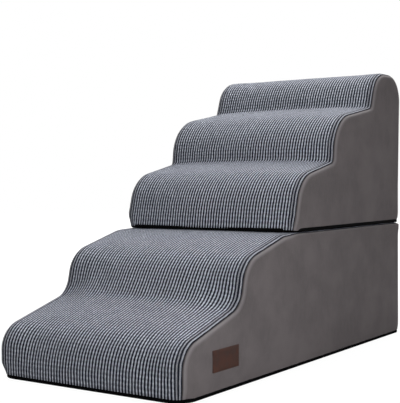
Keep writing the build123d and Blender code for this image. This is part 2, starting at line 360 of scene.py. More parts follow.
def filled(border, inner, tolerance):
    """Points and triangles that fill a closed border, with what each point was made from."""
    loop = list(range(len(border)))
    edges = [(a, (a + 1) % len(border)) for a in loop]
    found = delaunay_2d_cdt([Vector(p) for p in border + inner], edges, [loop], 1, tolerance)
    return found[0], found[2], found[3]


def counter_clockwise(triangles, index_of, flat):
    """Triangles over other indices, with their corners in counter-clockwise order on a plane."""
    faces = []
    for triangle in triangles:
        a, b, c = (index_of[corner] for corner in triangle)
        (ax, ay), (bx, by), (cx, cy) = flat[a], flat[b], flat[c]
        turn = (bx - ax) * (cy - ay) - (by - ay) * (cx - ax)
        faces.append((a, b, c) if turn > 0 else (a, c, b))
    return faces


def face_out(obj, most=None):
    """Turn every face outwards, and first cut those with more corners than most into triangles."""
    bm = bmesh.new()
    bm.from_mesh(obj.data)
    if most:
        bmesh.ops.triangulate(bm, faces=[f for f in bm.faces if len(f.verts) > most])
    bmesh.ops.recalc_face_normals(bm, faces=bm.faces)
    bm.to_mesh(obj.data)
    bm.free()


# How the covers sit over their foam, by cloth simulation

def coordinates(mesh):
    """Every vertex of a mesh, in rows."""
    flat = np.empty(len(mesh.vertices) * 3)
    mesh.vertices.foreach_get("co", flat)
    return flat.reshape(-1, 3)


def settled(line):
    """A cloth simulation of one cover over its foam, as a function that moves points as it settles."""
    side = np.radians([90, 60, 30])
    u = np.concatenate([-(FLAT + EDGE * side), np.linspace(-FLAT, FLAT, 25), (FLAT + EDGE * side)[::-1]])
    s = line.rows(0, line.length - END_GAP, *ROWS["cloth"])
    points, _ = skin(line, s, u)
    count = len(u)
    faces = quads(len(s), count)
    last = (len(s) - 1) * count
    faces += [(last + c, last + c + 1, c + 1, c) for c in range(count - 1)]
    faces.append([r * count for r in range(len(s))])
    faces.append([r * count + count - 1 for r in reversed(range(len(s)))])
    block = mesh_object("cloth_rest", points, faces)
    face_out(block, 3)
    remesh = block.modifiers.new("even", "REMESH")
    remesh.mode = "VOXEL"
    remesh.voxel_size = VOXEL
    graph = bpy.context.evaluated_depsgraph_get()
    even = bpy.data.meshes.new_from_object(block.evaluated_get(graph))
    block.modifiers.clear()
    block.data = even
    rest = coordinates(even)
    held = block.vertex_groups.new(name="held")
    local = (rest - (0, FRONT, 0)) / MM
    on_edge = (np.abs(local[:, 0]) > SEWN[0]) & (np.abs(local[:, 0]) < SEWN[1])
    held.add(np.flatnonzero(on_edge).tolist(), 1.0, "REPLACE")
    cloth = block.modifiers.new("cover", "CLOTH")
    cloth_values = {
        "quality": 5, "mass": 0.4, "tension_stiffness": 40, "compression_stiffness": 40,
        "shear_stiffness": 10, "bending_stiffness": 2, "use_pressure": True,
        "uniform_pressure_force": PRESSURE, "vertex_group_mass": "held", "pin_stiffness": 1,
    }
    for key, value in cloth_values.items():
        setattr(cloth.settings, key, value)
    cloth.settings.effector_weights.gravity = 0
    cloth.point_cache.frame_start = 1
    cloth.point_cache.frame_end = FRAMES
    for number in range(1, FRAMES + 1):
        scene.frame_set(number)
    graph = bpy.context.evaluated_depsgraph_get()
    shift = (coordinates(block.evaluated_get(graph).to_mesh()) - rest) / MM
    block.evaluated_get(graph).to_mesh_clear()
    size = np.linalg.norm(shift, axis=1)
    print("cover settled", len(rest), "points, by up to", round(float(size.max()), 2), "mm, mean",
          round(float(size.mean()), 2))
    shift *= (MOST_MOVED * np.tanh(size / MOST_MOVED) / np.maximum(size, 1e-9))[:, None]
    tree = kdtree.KDTree(len(local))
    for index, p in enumerate(local):
        tree.insert(p, index)
    tree.balance()
    scene.frame_set(1)
    bpy.data.objects.remove(block)

    def move(points):
        flat = np.array(points, float).reshape(-1, 3)
        result = flat.copy()
        for index, p in enumerate(flat):
            total, weights = np.zeros(3), 0.0
            for _, near, distance in tree.find_n(p, NEIGHBOURS):
                weight = 1 / (distance + 2.0) ** 2
                total += shift[near] * weight
                weights += weight
            result[index] += total / weights * loose(line, p)
        return result.reshape(np.shape(points))

    return move


def settled_skin(line, s, u, settle):
    """The cover's points as they settle, with the movement worked out on a coarser grid."""
    points, normals = skin(line, s, u)
    coarse_s = line.rows(s[0], s[-1], *ROWS["carried"])
    coarse_u = np.linspace(u[0], u[-1], max(3, int((u[-1] - u[0]) / 12)))
    rest, _ = skin(line, coarse_s, coarse_u)
    shift = settle(rest) - rest
    for axis in range(3):
        along = np.stack([np.interp(s, coarse_s, shift[:, c, axis]) for c in range(len(coarse_u))], axis=1)
        points[..., axis] += np.stack([np.interp(u, coarse_u, row) for row in along])
    return tucked(line, points), normals


def loose(line, p):
    """How free a place is to move: not at all over the band, by the zip or under the upper block."""
    free = smooth(8, 40, p[2] - line.foot - BAND)
    if p[1] > BACK - 30:
        free *= smooth(18, 45, abs(p[2] - line.foot - ZIP))
    if line is LOWER_LINE:
        free *= 1 - smooth(300, 340, p[1]) * smooth(LOWER_TOP - 30, LOWER_TOP - 12, p[2])
    return free


# Materials

def srgb(*values):
    """Linear colour of an sRGB one given from 0 to 255."""
    linear = []
    for value in values:
        v = value / 255
        linear.append(v / 12.92 if v <= 0.04045 else ((v + 0.055) / 1.055) ** 2.4)
    return (*linear, 1.0)


class Nodes:
    """A material, and calls that add shader nodes to it and link them.

    where is the place on the piece, in metres."""

    def __init__(self, name):
        self.material = bpy.data.materials.new(name)
        self.material.use_nodes = True
        self.tree = self.material.node_tree
        self.shader = self.tree.nodes["Principled BSDF"]
        self.where = self.add("ShaderNodeTexCoord", out=3)

    def put(self, socket, value):
        if isinstance(value, bpy.types.NodeSocket):
            self.tree.links.new(value, socket)
        else:
            socket.default_value = value

    def add(self, kind, *values, settings=None, out=0, **inputs):
        """One output of a new node. Values fill its first inputs in turn, inputs fill them by name."""
        node = self.tree.nodes.new(kind)
        for key, value in (settings or {}).items():
            setattr(node, key, value)
        for socket, value in zip(node.inputs, values):
            self.put(socket, value)
        for key, value in inputs.items():
            self.put(node.inputs[key], value)
        return node.outputs[out]

    def math(self, operation, *values):
        return self.add("ShaderNodeMath", *values, settings={"operation": operation})

    def times(self, a, b):
        return self.math("MULTIPLY", a, b)

    def wave(self, angle, half=0.5):
        """A wave between 0 and 1."""
        return self.math("MULTIPLY_ADD", self.math("COSINE", angle), half, 0.5)

    def split(self, value):
        """The three parts of a vector."""
        node = self.tree.nodes.new("ShaderNodeSeparateXYZ")
        self.put(node.inputs[0], value)
        return node.outputs

    def cloth(self):
        """How far across and along the cloth a place is, in metres."""
        return self.split(self.add("ShaderNodeUVMap", settings={"uv_map": "cloth"}))[:2]

    def mix(self, share, a, b):
        """One colour where share is 0 and another where it is 1."""
        node = self.tree.nodes.new("ShaderNodeMix")
        node.data_type = "RGBA"
        for index, value in ((0, share), (6, a), (7, b)):
            self.put(node.inputs[index], value)
        return node.outputs[2]

    def ramp(self, share, low, high, to_low=0.0, to_high=1.0):
        """Smooth step from to_low to to_high, while share goes from low to high."""
        return self.add("ShaderNodeMapRange", share, low, high, to_low, to_high,
                        settings={"interpolation_type": "SMOOTHSTEP"})

    def spread(self, noise, least=0.0, most=1.0):
        """A noise's usual range as a smooth step."""
        return self.ramp(noise, 0.3, 0.7, least, most)

    def noise(self, scale, detail=2.0, roughness=0.5, stretch=(1, 1, 1)):
        """Noise over the piece, or over the piece stretched along its axes."""
        where = self.where
        if stretch != (1, 1, 1):
            where = self.add("ShaderNodeMapping", Vector=where, Scale=stretch)
        return self.add("ShaderNodeTexNoise", Vector=where, Scale=scale, Detail=detail, Roughness=roughness)

    def cells(self, scale):
        """Distance to the nearest of a field of points."""
        return self.add("ShaderNodeTexVoronoi", Vector=self.where, Scale=scale)

    def bump(self, height, distance, strength, **below):
        """Fine relief, on top of the one below."""
        return self.add("ShaderNodeBump", Height=height, Distance=distance, Strength=strength, **below)

    def finish(self, colour, roughness, normal=None, **more):
        """The material, with what its surface is like."""
        more.update(Base_Color=colour, Roughness=roughness)
        if normal is not None:
            more["Normal"] = normal
        for key, value in more.items():
            self.put(self.shader.inputs[key.replace("_", " ")], value)
        return self.material


def ribbed_knit(name, rib):
    """Light ribs with knots along them, dark cross bars in the grooves between; the plain ribs by the seams
    are painted darker, as shade in the seam's crease.
    """
    n = Nodes(name)
    u, v = n.cloth()
    wander = n.noise(60.0)
    ribs = n.times(u, 2 * math.pi / (rib * MM))
    ribs = n.math("ADD", ribs, n.spread(wander, -0.35, 0.35))
    crest = n.wave(ribs, -0.5)
    knots = n.times(v, 2 * math.pi / (KNOT * MM))
    knots = n.math("ADD", knots, n.spread(wander, 0.5, -0.5))
    knot = n.wave(knots)
    loops = n.wave(n.times(knots, 2.0))
    reach = n.math("SUBTRACT", REACH * MM, n.math("ABSOLUTE", n.math("SUBTRACT", u, REACH * MM)))
    # Within 1.7 ribs of each seam, fading out by 2.6, the ribs are plain, without knots or bars, and
    # painted darker as shade in the crease
    unshaded_knotted_ribs = n.ramp(reach, 1.7 * rib * MM, 2.6 * rib * MM)
    yarn = n.noise(1500.0, 2.0, 0.6)
    tone = n.noise(9.0, 3.0)
    bar = n.times(n.ramp(knot, 0.45, 0.95), n.ramp(crest, 0.0, 0.35, 0.35, 1.0))
    bar = n.times(bar, unshaded_knotted_ribs)
    top = n.ramp(crest, 0.44, 0.78)
    groove = n.mix(n.times(bar, 0.5), srgb(3, 6, 19), srgb(60, 66, 86))
    light = n.mix(n.ramp(knot, 0.05, 0.5), srgb(153, 159, 174), srgb(202, 208, 221))
    light = n.mix(n.ramp(loops, 0.1, 0.6, 0.3, 0.0), light, srgb(120, 124, 138))
    uneven = n.noise(170.0, 2.0, 0.7)
    light = n.mix(n.ramp(uneven, 0.32, 0.6, 0.42, 0.0), light, srgb(92, 99, 118))
    light = n.mix(n.ramp(uneven, 0.55, 0.75, 0.0, 0.5), light, srgb(226, 230, 240))
    # Painted shade: ribs next to the seam take a darker colour
    light = n.mix(unshaded_knotted_ribs, srgb(112, 115, 126), light)
    light = n.mix(n.ramp(yarn, 0.35, 0.7, 0.0, 0.6), light, srgb(236, 238, 245))
    colour = n.mix(top, groove, light)
    colour = n.mix(n.ramp(tone, 0.35, 0.65, 0.0, 0.07), colour, srgb(96, 100, 114))
    height = n.times(top, n.ramp(knot, 0.0, 0.55, 0.35, 1.0))
    height = n.math("ADD", height, n.times(bar, 0.5))
    normal = n.bump(height, 0.0009, 0.9)
    normal = n.bump(yarn, 0.0003, 0.6, Normal=normal)
    return n.finish(colour, n.spread(yarn, 0.82, 0.95), normal, Sheen_Weight=0.12, Sheen_Roughness=0.5,
                    Sheen_Tint=srgb(200, 205, 222), Specular_IOR_Level=0.2)


def plush(name, dark, light, sheen):
    """Short brushed plush, clouded where the pile lies differently, with a painted highlight over the roll
    of its edge and painted shade in the seam's crease.
    """
    n = Nodes(name)
    arc = n.cloth()[0]
    cloud = n.noise(14.0, 4.0, 0.55)
    brush = n.noise(1.0, 3.0, 0.6, stretch=(260, 260, 60))
    pile = n.noise(1300.0, 3.0, 0.7)
    colour = n.mix(n.spread(cloud), dark, light)
    colour = n.mix(n.ramp(brush, 0.3, 0.75, 0.0, 0.35), colour, light)
    colour = n.mix(n.ramp(pile, 0.25, 0.75, 0.3, 0.0), colour, dark)
    # Painted highlight: lighter from 1 to 11 mm off the seam, where the roll of the edge catches the light
    painted_edge_highlight = n.times(n.ramp(arc, 0.001, 0.0035), n.ramp(arc, 0.0035, 0.011, 0.5, 0.0))
    colour = n.mix(painted_edge_highlight, colour, srgb(140, 136, 138))
    # Painted shade: darker in the first 1.4 mm off the seam, as shade in the seam's crease
    colour = n.mix(n.ramp(arc, 0.0, 0.0014, 0.7, 0.0), colour, srgb(38, 36, 37))
    normal = n.bump(brush, 0.0006, 0.4)
    normal = n.bump(pile, 0.0004, 0.7, Normal=normal)
    return n.finish(colour, n.spread(cloud, 0.85, 0.95), normal, Sheen_Weight=sheen, Sheen_Roughness=0.4,
                    Sheen_Tint=srgb(225, 218, 216), Specular_IOR_Level=0.15)


def weave(name, dark, light, pitch, roughness=0.75, rise=0.0002, sheen=0.04, specular=0.15):
    """A plain weave at a given thread pitch."""
    n = Nodes(name)
    turn = 2 * math.pi / (pitch * MM)
    x, y, z = (n.math("SINE", n.times(part, turn)) for part in n.split(n.where))
    threads = n.math("ADD", n.times(x, n.math("ADD", y, z)), n.times(y, z))
    fuzz = n.noise(900.0)
    colour = n.mix(n.ramp(threads, -0.8, 0.8), dark, light)
    colour = n.mix(n.ramp(fuzz, 0.3, 0.8, 0.0, 0.5), colour, dark)
    normal = n.bump(threads, rise, 0.6)
    normal = n.bump(fuzz, 0.0002, 0.5, Normal=normal)
    return n.finish(colour, n.spread(fuzz, roughness, roughness + 0.12), normal, Sheen_Weight=sheen,
                    Specular_IOR_Level=specular)


def foam(name, dark, light, cell):
    """Cut foam with open cells."""
    n = Nodes(name)
    cells = n.cells(1 / (cell * MM))
    tone = n.noise(20.0, 3.0)
    colour = n.mix(n.ramp(cells, 0.1, 0.5), dark, light)
    colour = n.mix(n.spread(tone, 0.0, 0.3), colour, dark)
    return n.finish(colour, n.spread(tone, 0.85, 0.95), n.bump(cells, 0.0006, 0.6), Specular_IOR_Level=0.2)


def pile_tape(name, dark, light, scale, rise):
    """Hook or loop tape: a dense field of small stems or loops."""
    n = Nodes(name)
    stems = n.cells(scale)
    fuzz = n.noise(1100.0, 3.0, 0.7)
    colour = n.mix(n.ramp(stems, 0.0, 0.6), light, dark)
    colour = n.mix(n.spread(fuzz, 0.0, 0.4), colour, light)
    normal = n.bump(stems, rise, 0.8)
    normal = n.bump(fuzz, 0.0002, 0.5, Normal=normal)
    return n.finish(colour, n.spread(fuzz, 0.6, 0.85), normal)


def nickel():
    """Dark nickel on zinc, brushed and rubbed lighter in places."""
    n = Nodes("zip_nickel")
    rub = n.noise(420.0, 3.0)
    lines = n.noise(1.0, stretch=(300, 4000, 4000))
    colour = n.mix(n.ramp(rub, 0.35, 0.7), srgb(104, 104, 108), srgb(170, 170, 172))
    return n.finish(colour, n.spread(lines, 0.26, 0.42), n.bump(lines, 0.00005, 0.3), Metallic=1.0)


def scuffed(name, dark, light, scale, roughness, relief):
    """Black nylon or rubber, lighter where it is scuffed or dusty."""
    n = Nodes(name)
    scuff = n.noise(scale, 3.0)
    colour = n.mix(n.ramp(scuff, 0.4, 0.8), dark, light)
    return n.finish(colour, n.spread(scuff, roughness, roughness + 0.2), n.bump(scuff, 0.0001, relief))


def leather():
    """Brown patch leather with fine grain, darker where handled."""
    n = Nodes("patch_leather")
    grain = n.cells(900.0)
    tone = n.noise(55.0, 4.0, 0.6)
    fine = n.noise(1600.0)
    colour = n.mix(n.spread(tone), srgb(49, 29, 23), srgb(69, 42, 33))
    colour = n.mix(n.ramp(grain, 0.05, 0.4, 0.35, 0.0), colour, srgb(38, 25, 22))
    normal = n.bump(grain, 0.0002, 0.5)
    normal = n.bump(fine, 0.0001, 0.5, Normal=normal)
    return n.finish(colour, n.spread(tone, 0.55, 0.72), normal, Specular_IOR_Level=0.3)


KNIT = {label: ribbed_knit(f"ribbed_knit_{label}", 2 * REACH / count) for label, count in RIBS.items()}
PLUSH = plush("plush_grey", srgb(94, 89, 90), srgb(112, 106, 107), 0.18)
GRIP = weave("grip_base_weave", srgb(1, 1, 2), srgb(7, 7, 8), 0.9, 0.85, sheen=0.0, specular=0.04)
TAPE = weave("zip_tape_weave", srgb(24, 24, 25), srgb(52, 52, 54), 0.6, 0.7)
THREAD = weave("sewing_thread", srgb(74, 71, 71), srgb(112, 108, 107), 0.35, 0.7, 0.0001)
FIRM = foam("firm_foam", srgb(196, 194, 186), srgb(226, 224, 216), 1.6)
SOFT = foam("soft_foam", srgb(214, 212, 204), srgb(240, 238, 230), 1.1)
HOOKS = pile_tape("hook_tape", srgb(16, 16, 17), srgb(52, 52, 54), 620.0, 0.0006)
LOOPS = pile_tape("loop_tape", srgb(20, 20, 21), srgb(66, 66, 69), 420.0, 0.0004)
METAL = nickel()
NYLON = scuffed("zip_nylon", srgb(40, 40, 42), srgb(84, 84, 88), 700.0, 0.35, 0.4)
LEATHER = leather()
DOTS = scuffed("grip_rubber", srgb(20, 20, 21), srgb(44, 44, 45), 300.0, 0.45, 0.3)


def dress(node, material):
    """A better material on a CAD node that stays in sight."""
    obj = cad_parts[node]
    obj.data.materials.clear()
    obj.data.materials.append(material)


# Cover pieces

def tread_knit(line, settle):
    """The ribbed cover over the treads, from the front foot to the seam on the back."""
    count = RIBS[line.label]
    rib = 2 * REACH / count
    tail = line.back_at(line.tail)
    s = line.rows(0.0, tail, *ROWS["cover"], also=[0.0, 2.0, 4.5, tail - 1.5])
    share = np.array([0, 0.2, 0.4, 0.6, 0.8])
    u = (np.arange(count)[:, None] + share[None, :]).ravel() * rib - REACH
    u = np.append(u, REACH)
    points, normals = settled_skin(line, s, u, settle)
    phase = ((u + REACH) / rib) % 1
    ribs = -RIB_DEPTH * (1 - np.sin(np.pi * phase) ** 0.9)
    relief = np.repeat(ribs[None, :], len(s), axis=0)
    relief -= KNIT_SINK * (1 - smooth(0, 3, tail - s))[:, None]
    if line is LOWER_LINE:
        relief -= under_strips(points, relief)
    verts = points + normals * relief[..., None]
    around = ((1, 1), (1, 1), (0, 0))
    rim = np.pad(np.zeros(relief.shape), 1, constant_values=CLOTH)[..., None]
    verts = np.pad(verts, around, mode="edge") - np.pad(normals, around, mode="edge") * rim
    uvs = grid_uvs(np.pad(u + REACH, 1, mode="edge"), np.pad(s, 1, mode="edge"))
    obj = mesh_object(f"{line.label}_tread_knit", verts, quads(*verts.shape[:2]), KNIT[line.label], uvs=uvs)
    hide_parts(f"{line.label}_tread_cover")
    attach(obj, line.body)


def edge_relief(arc):
    """Height of the plush on its rolled edge, from the seam inwards."""
    crease = -1.6 * (1 - smooth(0, 2.2, arc))
    roll = 0.45 * np.sin(np.pi * np.clip((arc - 1.5) / 7.5, 0, 1))
    fold = -0.35 * np.exp(-((arc - 10.2) / 1.1) ** 2)
    return crease + roll + fold


def side_plush(line, hand, settle):
    """A side panel: its rolled edge from the seam, then the flat of the side."""
    s = line.rows(0.0, line.length - END_GAP, *ROWS["cover"], also=[0.0, 2.0, 4.5])
    arc = np.array([0, 0.7, 1.5, 2.4, 3.8, 5.4, 7.0, 8.4, 9.4, 10.2, 11.2, SIDE_ARC])
    u = REACH + arc
    points, normals = settled_skin(line, s, u, settle)
    verts = points + normals * edge_relief(arc)[None, :, None]
    verts = np.concatenate([verts[:, :1] - normals[:, :1] * CLOTH, verts], axis=1)
    rows, cols = verts.shape[:2]
    ring = verts[:, -1]
    flat_foot = [(HALF, y, line.foot + BAND) for y in np.linspace(ring[-1, 1], ring[0, 1], 60)[1:-1]]
    edge = np.concatenate([ring, tucked(line, flat_foot)])[:, 1:]
    border = [tuple(p) for p in edge]
    (low_y, low_z), (high_y, high_z) = edge.min(axis=0), edge.max(axis=0)
    inner = []
    step, clear = 9.0, 5.0
    for row, z in enumerate(np.arange(low_z + step / 3, high_z, step)):
        for y in np.arange(low_y + (row % 2) * step / 2, high_y, step):
            if np.hypot(*(edge - (y, z)).T).min() > clear:
                inner.append((y, z))
    inner += [(y, line.foot + BAND + 2.2) for y in np.arange(low_y + 4, high_y - 4, step)]
    flat_points, triangles, made_from = filled(border, inner, 1e-4)
    grid = verts.reshape(-1, 3)
    index_of, extra = [], []
    for p, sources in zip(flat_points, made_from):
        source = min(sources, default=len(border))
        if source < len(ring):
            index_of.append(source * cols + cols - 1)
            continue
        index_of.append(len(grid) + len(extra))
        extra.append(flat_foot[source - len(ring)] if source < len(border) else (HALF, *p))
    panel = tucked(line, settle(extra))
    every = np.concatenate([grid, panel])
    # The distance from the seam goes to the UV map, where the plush paints its edge highlight and crease
    # shade
    from_seam = np.concatenate([np.tile(np.append(-1.0, arc), rows), np.full(len(panel), EDGE)])
    uvs = np.stack([from_seam * MM, every[:, 2] * MM], axis=1)
    faces = quads(rows, cols)
    faces += counter_clockwise(triangles, index_of, every[:, 1:])
    if hand == "left":
        every = every * (-1, 1, 1)
        faces = [tuple(reversed(f)) for f in faces]
    obj = mesh_object(f"{line.label}_side_plush_{hand}", every, faces, PLUSH, uvs=uvs)
    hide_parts(f"{line.label}_side_panel_{hand}")
    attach(obj, line.body)


def back_plush(line, settle):
    """The back of a cover, with the slit that the zip lies in."""
    middle = line.foot + ZIP
    marks = [middle + d for d in (26, 14, SLIT + 4, SLIT + 2.2, SLIT + 0.9, SLIT)]
    marks += [middle - (m - middle) for m in marks]
    must = sorted(line.back_at(z) for z in marks)
    start = line.back_at(line.tail)
    end = line.length - END_GAP
    s = line.rows(start, end, *ROWS["back"])
    s = s[[np.abs(np.array(must) - v).min() > 1.6 for v in s]]
    s = np.unique(np.concatenate([s, must, [start, start + 1.5, start + 3, end]]))
    u = np.arange(-180.0, 181.0, 7.5)
    ends = [side * (SLIT_END + d) for side in (1, -1) for d in (0, 0.9, 2.2, 4)]
    u = u[[np.abs(np.array(ends) - v).min() > 1.6 for v in u]]
    edge = FLAT + EDGE * np.linspace(0, SEAM, 7)
    u = np.unique(np.concatenate([u, ends, edge, -edge, [REACH - 1.2, -REACH + 1.2]]))
    points, normals = settled_skin(line, s, u, settle)
    beyond = np.maximum(np.abs(points[..., 2] - middle) - SLIT, np.abs(points[..., 0]) - SLIT_END)
    relief = -PLUSH_SINK * (1 - smooth(0, 2.4, beyond))
    relief -= PLUSH_SINK * (1 - smooth(0, 2.2, REACH - np.abs(u)))[None, :]
    relief -= KNIT_SINK * (1 - smooth(0, 3, s - start))[:, None]
    relief -= 0.3 * np.exp(-((beyond - 5.0) / 0.8) ** 2)
    verts = points + normals * relief[..., None]
    mid = (points[:-1, :-1] + points[1:, 1:]) / 2
    open_here = (np.abs(mid[..., 2] - middle) < SLIT) & (np.abs(mid[..., 0]) < SLIT_END)
    faces = quads(*verts.shape[:2], skip=open_here)
    # Distance from the side seams, where the plush paints its edge highlight and crease shade
    uvs = grid_uvs(np.minimum(REACH - np.abs(u), EDGE), s)
    obj = mesh_object(f"{line.label}_back_plush", verts, faces, PLUSH, uvs=uvs)
    bm = bmesh.new()
    bm.from_mesh(obj.data)
    bmesh.ops.delete(bm, geom=[v for v in bm.verts if not v.link_faces], context="VERTS")
    grown = bmesh.ops.extrude_edge_only(bm, edges=[e for e in bm.edges if e.is_boundary])
    centre = middle * MM
    for v in grown["geom"]:
        if isinstance(v, bmesh.types.BMVert):
            v.co.y -= 2.6 * MM
            if abs(v.co.z - centre) < (SLIT + 1.2) * MM and abs(v.co.x) < (SLIT_END + 3) * MM:
                v.co.z += math.copysign(0.8 * MM, v.co.z - centre)
    for f in bm.faces:
        f.smooth = True
    bm.to_mesh(obj.data)
    bm.free()
    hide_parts(f"{line.label}_back_panel", f"{line.label}_back_hem")
    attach(obj, line.body)


# Foam inside the covers

def foam_block(line, kind, node, inset, material, layer):
    """A closed foam piece that follows the outline at a depth inside the cover.

    Either it fills the block, or it is a layer over the front and the treads only."""
    side = HALF - inset
    arcs = np.radians([90, 60, 30, 0])
    radius = max(EDGE - inset, 2.0)
    stations = [(side - radius + radius * math.sin(a), radius * (1 - math.cos(a))) for a in arcs]
    stations += [(x, 0.0) for x in range(165, -166, -15)] + [(-x, d) for x, d in reversed(stations)]
    s = line.rows(0, line.length - END_GAP, *ROWS["foam"])
    outer = []
    for x, drop in stations:
        y, z, ny, nz, _, _ = line.at(s, x)
        depth = inset + drop
        ring, deep = (np.stack([np.full(len(s), x), y - ny * d, z - nz * d], axis=-1)
                      for d in (depth, SOFT_REACH))
        ring[:, 1] = np.clip(ring[:, 1], line.front + depth, BACK - 7.0)
        if layer:
            keep = s < line.over - 25
            ring = np.concatenate([ring[keep], deep[keep][::-1]])
        ring[:, 2] = np.maximum(ring[:, 2], line.foot + 4.0)
        outer.append(tucked(line, ring, inset))
    count = len(outer[0])
    verts = np.concatenate(outer)
    faces = between_rings(0, len(outer), count)
    faces += [list(range(count)), last_cap(0, len(outer), count)]
    obj = mesh_object(f"{line.label}_{kind}", verts, faces, material, smooth_shade=False)
    face_out(obj, 4)
    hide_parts(f"{line.label}_{node}")
    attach(obj, line.body)


# Base

def base_ring(line, inset):
    """Points of the base's rounded plan, drawn in by a distance."""
    side = HALF - BAND_SET - inset
    near = line.front + BAND_SET + inset
    far = BACK - BAND_SET - inset
    points = []
    corners = ((side, near, -90), (side, far, 0), (-side, far, 90), (-side, near, 180))
    for x, y, start in corners:
        r = (CORNER if y == near else REAR_CORNER) - inset
        cx = x - math.copysign(r, x)
        cy = y + r if y == near else y - r
        for step in range(13):
            turn = math.radians(start + 90 * step / 12)
            points.append((cx + r * math.cos(turn), cy + r * math.sin(turn)))
    return points


def base_grip(line):
    """The grip base: a band turned up round the foot, and its flat underside."""
    under = 0.9 if line is LOWER_LINE else 0.2
    section = [
        (3.6, BAND + 1.2), (1.6, BAND + 0.9), (1.2, BAND + 0.2), (0.5, BAND - 0.1), (0.1, BAND - 0.9),
        (-0.15, BAND / 2), (0.1, under + 1.6), (0.8, under + 0.6), (2.2, under + 0.12), (4.0, under),
    ]
    verts = []
    for inset, height in section:
        verts += [(x, y, line.foot + height) for x, y in base_ring(line, inset)]
    count = len(base_ring(line, 0))
    faces = between_rings(0, len(section), count, turned=True) + [last_cap(0, len(section), count)]
    obj = mesh_object(f"{line.label}_base_grip", verts, faces, GRIP)
    face_out(obj)
    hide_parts(f"{line.label}_base_cover")
    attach(obj, line.body)


def grip_dots(line):
    """Small rubber dots in staggered rows under the base."""
    verts, faces = [], []
    pitch = 13.0
    sides = 8
    dome = ((2.0, 0.95), (1.7, 0.3), (0.9, 0.0))
    for row, y in enumerate(np.arange(line.front + 14, BACK - 12, pitch * 0.866)):
        for x in np.arange(-182 + (row % 2) * pitch / 2, 182.5, pitch):
            base = len(verts)
            for radius, height in dome:
                for step in range(sides):
                    turn = step * 2 * math.pi / sides
                    across, along = radius * math.cos(turn), radius * math.sin(turn)
                    verts.append((x + across, y + along, line.foot + height))
            faces += between_rings(base, len(dome), sides, turned=True)
            faces.append(last_cap(base, len(dome), sides))
    obj = mesh_object(f"{line.label}_grip_dots", verts, faces, DOTS)
    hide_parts(f"{line.label}_base_cover")
    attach(obj, line.body)


# Small things

def rounded_plate(name, origin, axes, size, thick, corner, material, cells, bulge=0.0):
    """A soft-edged plate on a plane through origin, with its face crowned by a little.

    The axes point to its right, up, and out of its face."""
    right, up, out = (Vector(axis) for axis in axes)
    width, height = size
    xs, ys = (np.linspace(-d / 2, d / 2, max(3, int(d / cells)))[1:-1] for d in size)
    rims = [(0.0, -thick), (0.0, -0.35), (0.12, -0.12), (0.4, 0.0)]
    outline = []
    for cx, cy, start in ((1, 1, 0), (-1, 1, 90), (-1, -1, 180), (1, -1, 270)):
        for step in range(7):
            turn = math.radians(start + 15 * step)
            outline.append((cx, cy, math.cos(turn), math.sin(turn)))
    verts = []
    for inset, level in rims:
        for cx, cy, a, b in outline:
            r = max(corner - inset, 0.2)
            x = cx * (width / 2 - inset - r) + a * r
            y = cy * (height / 2 - inset - r) + b * r
            verts.append((x, y, level))
    count = len(outline)
    faces = between_rings(0, len(rims), count)
    border = [v[:2] for v in verts[-count:]]
    inner = [(x, y) for x in xs for y in ys]
    flat_points, triangles, made_from = filled(border, inner, 1e-5)
    offset = len(verts) - count
    index_of = []
    for (x, y), sources in zip(flat_points, made_from):
        source = min(sources)
        if source < count:
            index_of.append(offset + source)
            continue
        share = (1 - (2 * x / width) ** 2) * (1 - (2 * y / height) ** 2)
        index_of.append(len(verts))
        verts.append((x, y, bulge * max(share, 0)))
    faces += counter_clockwise(triangles, index_of, [v[:2] for v in verts])
    spots = [tuple(Vector(origin) + right * v[0] + up * v[1] + out * v[2]) for v in verts]
    if right.cross(up).dot(out) < 0:
        faces = [tuple(reversed(f)) for f in faces]
    return mesh_object(name, spots, faces, material)


def stitches(name, runs, body, material, radius=0.35, pitch=3.6, length=2.5):
    """Rows of small sewn stitches along straight runs of (start, end, outward normal)."""
    verts, faces = [], []
    sides = 6
    half = [(0.0, 1.0, 0.12), (0.36, 0.75, -0.05), (0.5, 0.15, -0.35)]
    rings = [(-t, size, rise) for t, size, rise in half[:0:-1]] + half
    for start, end, out in runs:
        start, end, out = Vector(start), Vector(end), Vector(out)
        along = (end - start).normalized()
        side = along.cross(out).normalized()
        count = max(1, int((end - start).length / pitch))
        for number in range(count):
            centre = start + along * (pitch * (number + 0.5))
            faces += between_rings(len(verts), len(rings), sides)
            for t, size, rise in rings:
                core = centre + along * (t * length) + out * rise
                for step in range(sides):
                    turn = step * 2 * math.pi / sides
                    offset = side * math.cos(turn) + out * math.sin(turn)
                    verts.append(tuple(core + offset * (radius * size)))
    obj = mesh_object(name, verts, faces, material)
    face_out(obj)
    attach(obj, body)
    return obj


